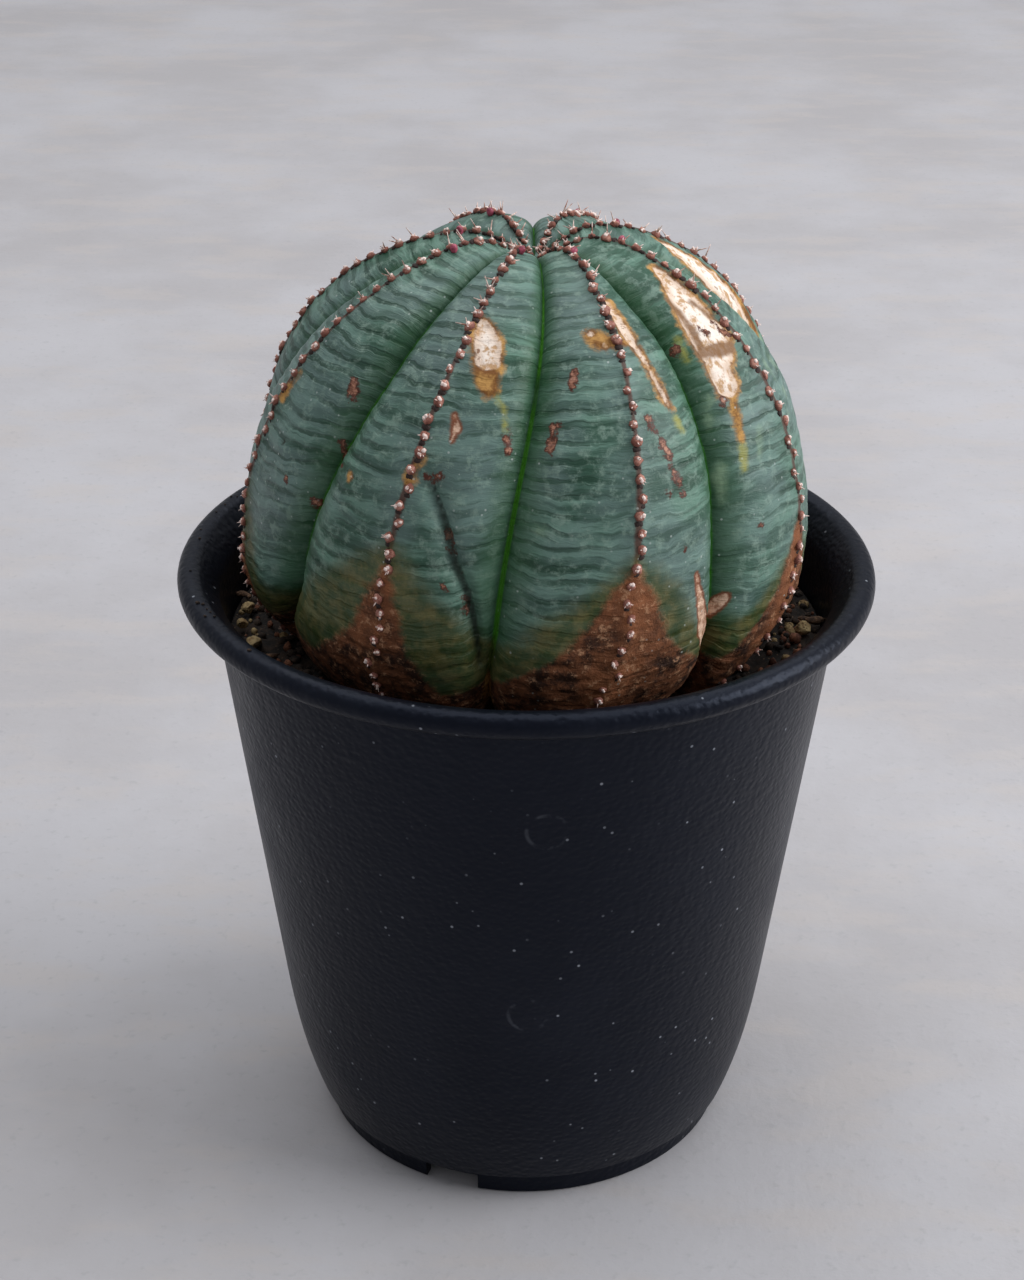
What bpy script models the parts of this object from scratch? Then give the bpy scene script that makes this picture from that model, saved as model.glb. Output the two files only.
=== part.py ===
"""A ball-shaped, eight-ribbed euphorbia in a thin plastic nursery pot.

Units are metres, +Z is up. The origin is the centre of the pot's base, on the surface it stands on,
and -Y is the front.
"""
import math
import random

import bmesh
import bpy
from mathutils import Matrix, Vector

MM = 0.001
GAP = 0.3 * MM                 # clearance between pieces that touch

# Pot
POT_HEIGHT = 110 * MM
RIM_RADIUS = 60 * MM           # outside of the rolled rim
BEAD_RADIUS = 2.25 * MM        # round section of the rolled rim
WALL = 1.3 * MM                # thickness
ROUND_HEIGHT = 30 * MM         # below this the wall rounds in towards the foot
WALL_RADIUS = 44.7 * MM        # outside of the wall at that height
WALL_SLOPE = 0.128             # how much the radius grows for each unit of height
ROUND_IN = 3.6 * MM
FOOT_RADIUS = 37.4 * MM
FOOT_WIDTH = 2.2 * MM
FOOT_HEIGHT = 5.2 * MM
RECESS = 3.8 * MM              # height of the floor's underside over the ground
FLOOR_TOP = RECESS + 1.6 * MM
INSIDE_ROUND = 3 * MM          # where the wall meets the floor
NOTCH_WIDTH = 10 * MM
NOTCH_HEIGHT = 3.4 * MM
NOTCH_ANGLES = (-20, 100, 220)  # degrees round from the front
DRAIN_RADIUS = 4 * MM
DRAIN_RING = 22 * MM
POT_SEGMENTS = 64

# Soil
SOIL_LEVEL = 96 * MM
SOIL_CROWN = 0.5 * MM          # the soil stands a little higher just inside the wall

# Plant
CREST_RADIUS = 48.2 * MM       # widest, at the crest of a rib
WIDEST_Z = 115.8 * MM
TOP_HEIGHT = 51.4 * MM         # from the widest level up to the top of the shoulders
TOP_POWER = 2.3
BOTTOM_HEIGHT = 31 * MM
BOTTOM_POWER = 2.25
APEX_DIP = 4.4 * MM            # how far the growing point lies below the shoulders
APEX_SPREAD = 6.5 * MM
FURROW_DEPTH = 7 * MM
BALL_END = 150                 # degrees down from the top, where the ball passes into the root
ROOT_DEPTH = 22 * MM
ROOT_RADIUS = 12 * MM
PLANT_ROWS = 30
# Crests and furrows by turns, as degrees round from the front: near the top, and near the soil.
# The ribs wind slightly, and no two are equally wide.
RIB_LINES = ((-152, -164), (-126, -138), (-101, -115), (-86, -100), (-66, -82), (-38, -65),
             (-21, -30), (4, -8), (26, 14), (42, 42), (72, 54), (96, 87),
             (115, 103), (136, 125), (157, 148), (181, 171))
LINES_FROM, LINES_TO = 30, 110  # degrees down from the top that the two angles are for
HALF_RIB_SHARES = (0, 0.3, 0.58, 0.8, 0.93)  # columns of points from a crest towards its furrow

# Loose grains on the soil, in the gap between the plant and the wall
GRAINS = (                     # kind, degrees round from the front, distance out and half size in mm
    ("pumice", -92, 48.9, 1.6), ("pumice", -85, 49.4, 1.4), ("pumice", -76, 48.0, 1.9),
    ("clay", -62, 46.6, 1.5), ("clay", -47, 46.0, 1.8), ("pumice", -33, 47.2, 1.3),
    ("clay", -14, 45.6, 1.6), ("pumice", 3, 46.4, 1.4), ("clay", 20, 47.0, 1.7),
    ("clay", 33, 46.4, 1.9), ("pumice", 50, 46.6, 1.4), ("clay", 64, 47.6, 1.7),
    ("clay", 73, 48.6, 1.4), ("pumice", 84, 48.2, 1.6), ("clay", 101, 47.4, 1.8),
    ("pumice", 118, 47.2, 1.5), ("clay", 135, 46.8, 1.7), ("pumice", 152, 48.0, 1.8),
    ("clay", 174, 46.4, 1.4), ("pumice", -164, 47.4, 1.7), ("clay", -141, 46.6, 1.6),
    ("pumice", -118, 47.6, 1.8))


def clear_scene():
    for thing in list(bpy.data.objects):
        bpy.data.objects.remove(thing, do_unlink=True)


def make_material(name, colour, roughness):
    material = bpy.data.materials.new(name)
    material.use_nodes = True
    shader = material.node_tree.nodes["Principled BSDF"]
    shader.inputs["Base Color"].default_value = (*colour, 1)
    shader.inputs["Roughness"].default_value = roughness
    shader.inputs["Metallic"].default_value = 0
    material.diffuse_color = (*colour, 1)
    return material


def add_object(name, mesh_data, material):
    """Turn a bmesh into a named, smooth-shaded object with outward faces."""
    bmesh.ops.recalc_face_normals(mesh_data, faces=mesh_data.faces)
    mesh = bpy.data.meshes.new(name)
    mesh_data.to_mesh(mesh)
    mesh_data.free()
    mesh.materials.append(material)
    mesh.shade_smooth()
    mesh.set_sharp_from_angle(angle=math.radians(35))
    thing = bpy.data.objects.new(name, mesh)
    bpy.context.scene.collection.objects.link(thing)
    return thing


def revolve(outline, segments):
    """Turn an outline of (radius, height) points, which starts and ends on the axis, into a solid."""
    mesh_data = bmesh.new()
    points = [mesh_data.verts.new((radius, 0, height)) for radius, height in outline]
    edges = [mesh_data.edges.new(pair) for pair in zip(points, points[1:])]
    bmesh.ops.spin(mesh_data, geom=points + edges, cent=(0, 0, 0), axis=(0, 0, 1),
                   angle=math.tau, steps=segments, use_merge=True)
    bmesh.ops.remove_doubles(mesh_data, verts=mesh_data.verts, dist=0.001 * MM)
    return mesh_data


def direction(degrees):
    """Unit vector at an angle round from the front, positive towards +X."""
    angle = math.radians(degrees)
    return Vector((math.sin(angle), -math.cos(angle), 0))


# The pot

def wall_radius(height):
    """Outside of the wall: a straight taper that rounds in towards the foot."""
    taper = WALL_RADIUS + (height - ROUND_HEIGHT) * WALL_SLOPE
    low = max(0, (ROUND_HEIGHT - height) / ROUND_HEIGHT)
    return taper - ROUND_IN * low ** 2.6


def wall_inside(height):
    """Inside of the wall, which rounds into the floor."""
    low = max(0, (INSIDE_ROUND - (height - FLOOR_TOP)) / INSIDE_ROUND)
    return wall_radius(height) - WALL - INSIDE_ROUND * (1 - math.sqrt(1 - min(1, low) ** 2))


def wall_levels(bottom, top):
    """Heights up the wall, closer together where it is curved near the base."""
    return [bottom + (top - bottom) * (step / 14) ** 1.5 for step in range(15)]


def pot_outline():
    bead_centre = RIM_RADIUS - BEAD_RADIUS
    bead_height = POT_HEIGHT - BEAD_RADIUS
    neck = bead_height - 1.5 * MM
    outside = [(wall_radius(height), height) for height in wall_levels(FOOT_HEIGHT, neck)]
    bead = []
    for step in range(12):
        angle = math.radians(-105 + 255 * step / 11)
        bead.append((bead_centre + BEAD_RADIUS * math.cos(angle),
                     bead_height + BEAD_RADIUS * math.sin(angle)))
    inside = [(wall_inside(height), height) for height in reversed(wall_levels(FLOOR_TOP, neck))]
    base = [(0, RECESS), (FOOT_RADIUS - FOOT_WIDTH, RECESS), (FOOT_RADIUS - FOOT_WIDTH, 0),
            (FOOT_RADIUS, 0), (FOOT_RADIUS, FOOT_HEIGHT)]
    return base + outside + bead + inside + [(0, FLOOR_TOP)]


def add_cutter(name, mesh_data, matrix):
    mesh = bpy.data.meshes.new(name)
    mesh_data.to_mesh(mesh)
    mesh_data.free()
    mesh.transform(matrix)
    cutter = bpy.data.objects.new(name, mesh)
    cutter.hide_render = True
    cutter.display_type = "WIRE"
    bpy.context.scene.collection.objects.link(cutter)
    return cutter


def notch_cutter(index, degrees):
    """A block across the foot ring, standing up from the ground."""
    block = bmesh.new()
    bmesh.ops.create_cube(block, size=1)
    size = Matrix.Diagonal((NOTCH_WIDTH, 8 * MM, 2 * NOTCH_HEIGHT, 1))
    place = Matrix.Translation(direction(degrees) * FOOT_RADIUS)
    turn = Matrix.Rotation(math.radians(degrees), 4, "Z")
    return add_cutter(f"cut_notch_{index}", block, place @ turn @ size)


def drain_cutter(index, centre):
    drum = bmesh.new()
    bmesh.ops.create_cone(drum, cap_ends=True, segments=20, radius1=DRAIN_RADIUS,
                          radius2=DRAIN_RADIUS, depth=8 * MM)
    place = Matrix.Translation(centre + Vector((0, 0, RECESS + 1 * MM)))
    return add_cutter(f"cut_drain_{index}", drum, place)


def cut(thing, cutter):
    modifier = thing.modifiers.new(cutter.name, "BOOLEAN")
    modifier.operation = "DIFFERENCE"
    modifier.solver = "EXACT"
    modifier.object = cutter


def make_pot():
    pot = add_object("pot", revolve(pot_outline(), POT_SEGMENTS),
                     make_material("pot_plastic", (0.012, 0.014, 0.02), 0.42))
    for index, degrees in enumerate(NOTCH_ANGLES):
        cut(pot, notch_cutter(index, degrees))
    centres = [Vector((0, 0, 0))]
    centres += [direction(40 + 90 * step) * DRAIN_RING for step in range(4)]
    for index, centre in enumerate(centres):
        cut(pot, drain_cutter(index, centre))


# The plant

def crest_point(polar):
    """Crest radius and height at an angle down from the top of the ball."""
    across = math.sin(polar)
    rise = math.cos(polar)
    if rise < 0:
        height = WIDEST_Z - BOTTOM_HEIGHT * (-rise) ** (2 / BOTTOM_POWER)
        return Vector((CREST_RADIUS * across ** (2 / BOTTOM_POWER), height))
    radius = CREST_RADIUS * across ** (2 / TOP_POWER)
    dip = APEX_DIP * math.exp(-(radius / APEX_SPREAD) ** 2)
    return Vector((radius, WIDEST_Z + TOP_HEIGHT * rise ** (2 / TOP_POWER) - dip))


def inward(polar):
    """Unit vector into the ball, across the crest line."""
    step = math.radians(0.5)
    along = crest_point(polar + step) - crest_point(max(0, polar - step))
    return Vector((along.y, -along.x)).normalized()


def skin_point(polar, share):
    """Radius and height of the skin, where share is 0 on a crest and 1 in a furrow."""
    hollow = 1 - math.sqrt(1 - (0.995 * share) ** 4.5)
    depth = FURROW_DEPTH * math.sin(polar) ** 0.7 * (0.25 * share ** 2 + 0.75 * hollow)
    return crest_point(polar) + inward(polar) * depth


def line_angle(index, polar):
    """Angle round from the front of a crest (even index) or a furrow (odd index)."""
    turns, line = divmod(index, len(RIB_LINES))
    near_top, near_soil = RIB_LINES[line]
    along = (math.degrees(polar) - LINES_FROM) / (LINES_TO - LINES_FROM)
    return 360 * turns + near_top + (near_soil - near_top) * max(0, min(1.2, along))


def skin_ring(polar):
    """One closed ring of points, with the same number of columns on every half rib."""
    ring = []
    for line in range(len(RIB_LINES)):
        first, last = line_angle(line, polar), line_angle(line + 1, polar)
        for share in HALF_RIB_SHARES:
            share = share if line % 2 == 0 else 1 - share
            steps = share if line % 2 == 0 else 1 - share
            radius, height = skin_point(polar, share)
            spot = direction(first + (last - first) * steps) * radius
            ring.append((spot.x, spot.y, height))
    return ring


def root_rings(ring):
    """The ball's last ring, drawn in and down to the end of the taproot."""
    end_radius, end_height = crest_point(math.radians(BALL_END))
    rings = []
    for share in (0.25, 0.5, 0.75, 1):
        narrow = 1 + (ROOT_RADIUS / end_radius - 1) * math.sin(share * math.pi / 2)
        drop = ROOT_DEPTH * (1 - math.cos(share * math.pi / 2))
        rings.append([(x * narrow, y * narrow, end_height - drop) for x, y, height in ring])
    return rings


def make_plant():
    """The ribbed ball and the taproot it grows from, as the one solid that they are."""
    mesh_data = bmesh.new()
    top = mesh_data.verts.new((0, 0, skin_point(0, 0)[1]))
    polars = [math.radians(BALL_END) * row / PLANT_ROWS for row in range(1, PLANT_ROWS + 1)]
    rings = [skin_ring(polar) for polar in polars]
    rings += root_rings(rings[-1])
    rings = [[mesh_data.verts.new(spot) for spot in ring] for ring in rings]
    tip = mesh_data.verts.new((0, 0, rings[-1][0].co.z - 2 * MM))
    columns = len(rings[0])
    for column in range(columns):
        following = (column + 1) % columns
        mesh_data.faces.new((top, rings[0][column], rings[0][following]))
        mesh_data.faces.new((tip, rings[-1][following], rings[-1][column]))
        for upper, lower in zip(rings, rings[1:]):
            mesh_data.faces.new((upper[column], lower[column], lower[following], upper[following]))
    add_object("euphorbia", mesh_data, make_material("plant_skin", (0.13, 0.22, 0.17), 0.55))


# The soil and its loose grains

def socket_outline():
    """The hollow that the plant sits in, just clear of its crests and its root, top to bottom."""
    under_soil = math.acos(-((WIDEST_Z - SOIL_LEVEL) / BOTTOM_HEIGHT) ** (BOTTOM_POWER / 2))
    last = math.radians(BALL_END)
    outline = []
    for step in range(7):
        radius, height = crest_point(under_soil + (last - under_soil) * step / 6)
        outline.append((radius + 0.5 * MM, height))
    end_radius, end_height = outline[-1]
    for share in (0.25, 0.5, 0.75, 1):
        radius = end_radius + (ROOT_RADIUS + 1 * MM - end_radius) * math.sin(share * math.pi / 2)
        outline.append((radius, end_height - ROOT_DEPTH * (1 - math.cos(share * math.pi / 2))))
    return outline + [(0, end_height - ROOT_DEPTH - 3 * MM)]


def soil_outline():
    bottom = FLOOR_TOP + GAP
    levels = wall_levels(FLOOR_TOP + INSIDE_ROUND, SOIL_LEVEL)
    outside = [(wall_inside(height) - 0.5 * MM, height) for height in levels]
    crown = [(outside[-1][0] - 2 * MM, SOIL_LEVEL + SOIL_CROWN)]
    foot = [(0, bottom), (outside[0][0] - INSIDE_ROUND, bottom)]
    return foot + outside + crown + socket_outline()


def make_soil():
    add_object("soil", revolve(soil_outline(), POT_SEGMENTS),
               make_material("soil", (0.03, 0.02, 0.014), 0.95))


def grain_mesh(rng, size):
    """A small broken stone: a coarse ball with each corner pushed in or out a little."""
    stone = bmesh.new()
    bmesh.ops.create_icosphere(stone, subdivisions=1, radius=1)
    stretch = Vector((rng.uniform(0.85, 1.15), rng.uniform(0.8, 1.0), rng.uniform(0.65, 0.85)))
    for corner in stone.verts:
        corner.co = corner.co * rng.uniform(0.85, 1.05) * size
        corner.co = Vector(a * b for a, b in zip(corner.co, stretch))
    return stone


def make_grains():
    """Single grains of pumice and baked clay, which lie on the soil in the gap round the plant."""
    rng = random.Random(8)
    materials = {"pumice": make_material("pumice", (0.42, 0.33, 0.17), 0.9),
                 "clay": make_material("baked_clay", (0.17, 0.085, 0.035), 0.9)}
    for number, (kind, angle, ring, half_size) in enumerate(GRAINS, start=1):
        stone = grain_mesh(rng, half_size * MM)
        bmesh.ops.rotate(stone, verts=stone.verts,
                         matrix=Matrix.Rotation(rng.uniform(0, math.tau), 3, "Z"))
        lift = SOIL_LEVEL + SOIL_CROWN + GAP - min(corner.co.z for corner in stone.verts)
        place = direction(angle) * ring * MM + Vector((0, 0, lift))
        bmesh.ops.translate(stone, verts=stone.verts, vec=place)
        add_object(f"{kind}_grain_{number:02d}", stone, materials[kind])


clear_scene()
make_pot()
make_plant()
make_soil()
make_grains()
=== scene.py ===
import math
import random

import bmesh
import bpy
import numpy as np
from mathutils import Matrix, Vector, noise


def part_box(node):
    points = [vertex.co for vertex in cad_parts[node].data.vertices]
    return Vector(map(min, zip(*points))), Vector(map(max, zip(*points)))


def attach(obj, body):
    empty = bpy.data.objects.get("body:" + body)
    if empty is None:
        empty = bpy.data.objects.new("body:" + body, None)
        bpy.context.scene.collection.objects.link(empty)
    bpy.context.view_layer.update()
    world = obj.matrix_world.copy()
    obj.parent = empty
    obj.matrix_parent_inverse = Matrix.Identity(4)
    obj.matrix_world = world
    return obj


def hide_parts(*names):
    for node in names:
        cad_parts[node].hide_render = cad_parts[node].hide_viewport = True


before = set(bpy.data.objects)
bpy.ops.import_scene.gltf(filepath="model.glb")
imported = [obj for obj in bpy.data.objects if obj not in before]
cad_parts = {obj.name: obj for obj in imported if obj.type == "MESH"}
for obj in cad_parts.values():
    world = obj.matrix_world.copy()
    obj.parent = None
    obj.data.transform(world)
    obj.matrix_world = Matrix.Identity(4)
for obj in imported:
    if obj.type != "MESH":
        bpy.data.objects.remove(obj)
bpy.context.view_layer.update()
MM = 0.001

# ---------------------------------------------------------------------------------------------
# Camera, light and floor. A short telephoto looks down on the pot from the front. The main light
# is a broad soft source high on the right and a little behind, with a weak fill from the left.
# ---------------------------------------------------------------------------------------------


def start_material(name, roughness):
    """A node material with its shader, and a roughness that is the same all over."""
    made = bpy.data.materials.new(name)
    made.use_nodes = True
    shader = made.node_tree.nodes["Principled BSDF"]
    shader.inputs["Roughness"].default_value = roughness
    return made, made.node_tree, shader


def add_node(tree, kind, inputs=None, **settings):
    """One node, with its settings and its inputs given as numbers or as the sockets that feed them."""
    made = tree.nodes.new(kind)
    for key, value in settings.items():
        setattr(made, key, value)
    for key, value in (inputs or {}).items():
        if isinstance(value, bpy.types.NodeSocket):
            tree.links.new(value, made.inputs[key])
        else:
            made.inputs[key].default_value = value
    return made


def object_point(tree, scale=(1, 1, 1)):
    place = add_node(tree, "ShaderNodeTexCoord").outputs["Object"]
    return add_node(tree, "ShaderNodeMapping", {"Vector": place, "Scale": scale}).outputs["Vector"]


def noise_of(tree, point, scale, detail=2.0, rough=0.5, stretch=0.0):
    made = add_node(tree, "ShaderNodeTexNoise",
                    {"Vector": point, "Scale": scale, "Detail": detail, "Roughness": rough,
                     "Distortion": stretch})
    return made.outputs["Fac"]


def step_up(tree, value, low, high, smooth=True):
    """0 below low and 1 above high, with a soft step between them; falls instead if low > high."""
    kind = "SMOOTHSTEP" if smooth else "LINEAR"
    turned = low > high
    made = add_node(tree, "ShaderNodeMapRange",
                    {"Value": value, "From Min": min(low, high), "From Max": max(low, high),
                     "To Min": 1.0 if turned else 0.0, "To Max": 0.0 if turned else 1.0},
                    interpolation_type=kind)
    return made.outputs["Result"]


def sums(tree, operation, first, second=0.5, third=None):
    made = add_node(tree, "ShaderNodeMath", operation=operation, use_clamp=False)
    for socket, value in zip(made.inputs, (first, second, third)):
        if isinstance(value, bpy.types.NodeSocket):
            tree.links.new(value, socket)
        elif value is not None:
            socket.default_value = value
    return made.outputs[0]


def paint(tree, under, over, amount):
    """The colour over laid on the colour under, as thickly as amount says."""
    made = add_node(tree, "ShaderNodeMix", data_type="RGBA", clamp_factor=True)
    for socket, value in ((made.inputs[0], amount), (made.inputs[6], under), (made.inputs[7], over)):
        if isinstance(value, bpy.types.NodeSocket):
            tree.links.new(value, socket)
        else:
            socket.default_value = value if isinstance(value, float) else (*value, 1)
    return made.outputs[2]


def relief(tree, shader, height, distance, strength=1.0):
    bump = add_node(tree, "ShaderNodeBump",
                    {"Height": height, "Distance": distance, "Strength": strength})
    tree.links.new(bump.outputs["Normal"], shader.inputs["Normal"])


def finish_mesh(name, shape, material):
    """Turn a bmesh into a smooth-shaded object at the origin, and the bmesh is used up."""
    mesh = bpy.data.meshes.new(name)
    shape.to_mesh(mesh)
    shape.free()
    mesh.shade_smooth()
    mesh.materials.append(material)
    piece = bpy.data.objects.new(name, mesh)
    bpy.context.scene.collection.objects.link(piece)
    return piece


lens = bpy.data.cameras.new("camera")
lens.lens = 65.95
lens.sensor_width = 36
lens.shift_x = -0.0109
camera = bpy.data.objects.new("camera", lens)
camera.matrix_world = (Matrix.Translation((0, -0.3676, 0.2809))
                       @ Matrix.Rotation(math.radians(62.885), 4, "X")
                       @ Matrix.Rotation(math.radians(0.417), 4, "Z"))
bpy.context.scene.collection.objects.link(camera)
bpy.context.scene.camera = camera
bpy.context.scene.view_settings.view_transform = "Standard"


def add_light(name, place, aim, size, power, colour):
    data = bpy.data.lights.new(name, "AREA")
    data.shape = "RECTANGLE"
    data.size, data.size_y = size
    data.energy = power
    data.color = colour
    light = bpy.data.objects.new(name, data)
    light.location = place
    light.rotation_euler = (Vector(aim) - Vector(place)).to_track_quat("-Z", "Y").to_euler()
    bpy.context.scene.collection.objects.link(light)


add_light("window", (1.35, -0.15, 0.75), (0, 0, 0.1), (1.1, 1.0), 20, (0.97, 0.985, 1.0))
add_light("overhead", (0.0, 0.45, 1.9), (0, 0, 0.08), (2.6, 2.4), 36, (0.96, 0.98, 1.0))
add_light("fill", (-1.4, -0.7, 0.9), (0, 0, 0.1), (1.2, 1.2), 0.5, (0.95, 0.97, 1.0))

world = bpy.data.worlds.new("room")
world.use_nodes = True
world.node_tree.nodes["Background"].inputs["Color"].default_value = (0.93, 0.95, 1.0, 1)
world.node_tree.nodes["Background"].inputs["Strength"].default_value = 0.34
bpy.context.scene.world = world

concrete, tree, shader = start_material("floor_concrete", 0.85)
ground = object_point(tree)
cloud = noise_of(tree, ground, 9.0, 5.0, 0.62)
grit = noise_of(tree, ground, 420.0, 3.0, 0.6)
colour = paint(tree, (0.395, 0.378, 0.386), (0.455, 0.444, 0.462), step_up(tree, cloud, 0.34, 0.66))
warm = noise_of(tree, object_point(tree, (22, 60, 1)), 1.0, 5.0, 0.6)
warm_here = sums(tree, "MULTIPLY", step_up(tree, warm, 0.48, 0.66), 0.45)
colour = paint(tree, colour, (0.47, 0.43, 0.41), warm_here)
grit_here = sums(tree, "MULTIPLY", step_up(tree, grit, 0.56, 0.75), 0.4)
colour = paint(tree, colour, (0.33, 0.325, 0.335), grit_here)
tree.links.new(colour, shader.inputs["Base Color"])
relief(tree, shader, grit, 0.3 * MM, 0.4)
ground_shape = bmesh.new()
bmesh.ops.create_grid(ground_shape, x_segments=1, y_segments=1, size=4)
floor = finish_mesh("floor", ground_shape, concrete)

# ---------------------------------------------------------------------------------------------
# Pot. One thin moulding in satin black plastic: a plain tapered wall with a fine leather grain,
# a rolled rim, and a foot ring with drainage notches. It is turned from its outline, then cut.
# ---------------------------------------------------------------------------------------------

pot_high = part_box("pot")[1]
rim_radius = pot_high[0]
pot_height = pot_high[2]
WALL = 1.3 * MM
FOOT_RADIUS = 37.4 * MM
FOOT_WIDTH = 2.2 * MM
FOOT_HEIGHT = 5.2 * MM
FLOOR_UNDER = 3.8 * MM
FLOOR_TOP = 5.4 * MM
BEAD = 2.25 * MM
NOTCHES = (-20, 100, 220)       # degrees round from the front
NOTCH_SIZE = (10 * MM, 8 * MM, 6.8 * MM)
DRAIN_RADIUS = 4 * MM
DRAIN_RING = 22 * MM
ROUND_HEIGHT = 30 * MM          # under this the wall curves in to the foot
ROUND_IN = 3.6 * MM
WALL_RADIUS = 44.7 * MM
WALL_SLOPE = 0.128
INSIDE_ROUND = 3 * MM
WATER_MARKS = ((4, 51.6 * MM, 85 * MM), (1, 46.4 * MM, 46 * MM))
WATER_MARK_RADIUS = 3.3 * MM


def towards(degrees):
    """Unit vector at an angle round from the front, positive to the right."""
    angle = math.radians(degrees)
    return Vector((math.sin(angle), -math.cos(angle), 0))


def wall_outside(height):
    taper = WALL_RADIUS + (height - ROUND_HEIGHT) * WALL_SLOPE
    low = max(0, (ROUND_HEIGHT - height) / ROUND_HEIGHT)
    return taper - ROUND_IN * low ** 2.6


def wall_inside(height):
    low = min(1, max(0, (INSIDE_ROUND - (height - FLOOR_TOP)) / INSIDE_ROUND))
    return wall_outside(height) - WALL - INSIDE_ROUND * (1 - math.sqrt(1 - low ** 2))


def pot_outline():
    """Closed round the foot and the rolled rim, from the floor's underside to its top."""
    neck = pot_height - BEAD - 1.7 * MM
    rows = [FOOT_HEIGHT + (neck - FOOT_HEIGHT) * (step / 44) ** 1.35 for step in range(45)]
    foot = [(0, FLOOR_UNDER), (FOOT_RADIUS - FOOT_WIDTH - 0.5 * MM, FLOOR_UNDER)]
    foot += [(FOOT_RADIUS - FOOT_WIDTH, FLOOR_UNDER - 0.5 * MM), (FOOT_RADIUS - FOOT_WIDTH, 0.4 * MM)]
    foot += [(FOOT_RADIUS - FOOT_WIDTH + 0.4 * MM, 0), (FOOT_RADIUS - 0.5 * MM, 0)]
    foot += [(FOOT_RADIUS - 0.1 * MM, 0.4 * MM), (FOOT_RADIUS + 0.1 * MM, FOOT_HEIGHT - 0.7 * MM)]
    outside = [(wall_outside(height), height) for height in rows]
    bead = []
    for step in range(19):
        angle = math.radians(-118 + 275 * step / 18)
        bead.append((rim_radius - BEAD + BEAD * math.cos(angle),
                     pot_height - BEAD + BEAD * math.sin(angle)))
    inside = [(wall_inside(height), height) for height in reversed(rows) if height > FLOOR_TOP]
    return foot + outside + bead + inside + [(wall_inside(FLOOR_TOP), FLOOR_TOP), (0, FLOOR_TOP)]


def turned(outline, steps):
    """A bmesh turned from (radius, height) points that start and end on the axis."""
    shape = bmesh.new()
    points = [shape.verts.new((radius, 0, height)) for radius, height in outline]
    edges = [shape.edges.new(pair) for pair in zip(points, points[1:])]
    bmesh.ops.spin(shape, geom=points + edges, cent=(0, 0, 0), axis=(0, 0, 1),
                   angle=math.tau, steps=steps, use_merge=True)
    bmesh.ops.remove_doubles(shape, verts=shape.verts, dist=0.002 * MM)
    bmesh.ops.recalc_face_normals(shape, faces=shape.faces)
    return shape


plastic, tree, shader = start_material("pot_plastic_black", 0.4)
point = object_point(tree)
grain = add_node(tree, "ShaderNodeTexVoronoi", {"Vector": object_point(tree, (1, 1, 1.25)), "Scale": 900.0},
                 feature="SMOOTH_F1").outputs["Distance"]
ripples = noise_of(tree, point, 260.0, 3.0, 0.6)
dust_cells = add_node(tree, "ShaderNodeTexVoronoi", {"Vector": point, "Scale": 330.0})
dust_spot = step_up(tree, dust_cells.outputs["Distance"], 0.11, 0.05)
dust_chance = step_up(tree, noise_of(tree, point, 60.0, 3.0, 0.7), 0.46, 0.60)
dust = sums(tree, "MULTIPLY", dust_spot, dust_chance)
for degrees, reach, level in WATER_MARKS:
    spot = towards(degrees) * reach + Vector((0, 0, level))
    away = add_node(tree, "ShaderNodeVectorMath", {0: point, 1: spot}, operation="DISTANCE")
    off_ring = sums(tree, "ABSOLUTE", sums(tree, "SUBTRACT", away.outputs["Value"], WATER_MARK_RADIUS))
    ring = sums(tree, "MULTIPLY", step_up(tree, off_ring, 0.5 * MM, 0.05 * MM),
                step_up(tree, ripples, 0.44, 0.6))
    dust = sums(tree, "MAXIMUM", dust, sums(tree, "MULTIPLY", ring, 0.14))
film = step_up(tree, noise_of(tree, point, 34.0, 5.0, 0.65), 0.4, 0.75)
colour = paint(tree, (0.0026, 0.0032, 0.0062), (0.006, 0.007, 0.0115), film)
colour = paint(tree, colour, (0.30, 0.32, 0.36), sums(tree, "MULTIPLY", dust, 0.75))
tree.links.new(colour, shader.inputs["Base Color"])
rough = sums(tree, "MULTIPLY_ADD", film, 0.12, 0.36)
tree.links.new(rough, shader.inputs["Roughness"])
shader.inputs["Specular IOR Level"].default_value = 0.19
shader.inputs["Specular Tint"].default_value = (0.64, 0.74, 1.0, 1)
height = sums(tree, "ADD", sums(tree, "MULTIPLY", grain, 0.8), ripples)
relief(tree, shader, height, 0.2 * MM, 0.8)

pot = finish_mesh("pot_moulding", turned(pot_outline(), 192), plastic)


def cut_with(piece, shape):
    """Take the bmesh's shape out of the piece, and apply the cut."""
    knife = finish_mesh("knife", shape, piece.data.materials[0])
    cut = piece.modifiers.new("cut", "BOOLEAN")
    cut.operation = "DIFFERENCE"
    cut.solver = "EXACT"
    cut.object = knife
    bpy.context.view_layer.update()
    seen = piece.evaluated_get(bpy.context.evaluated_depsgraph_get())
    mesh = bpy.data.meshes.new_from_object(seen)
    piece.modifiers.clear()
    piece.data = mesh
    bpy.data.objects.remove(knife)


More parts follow.
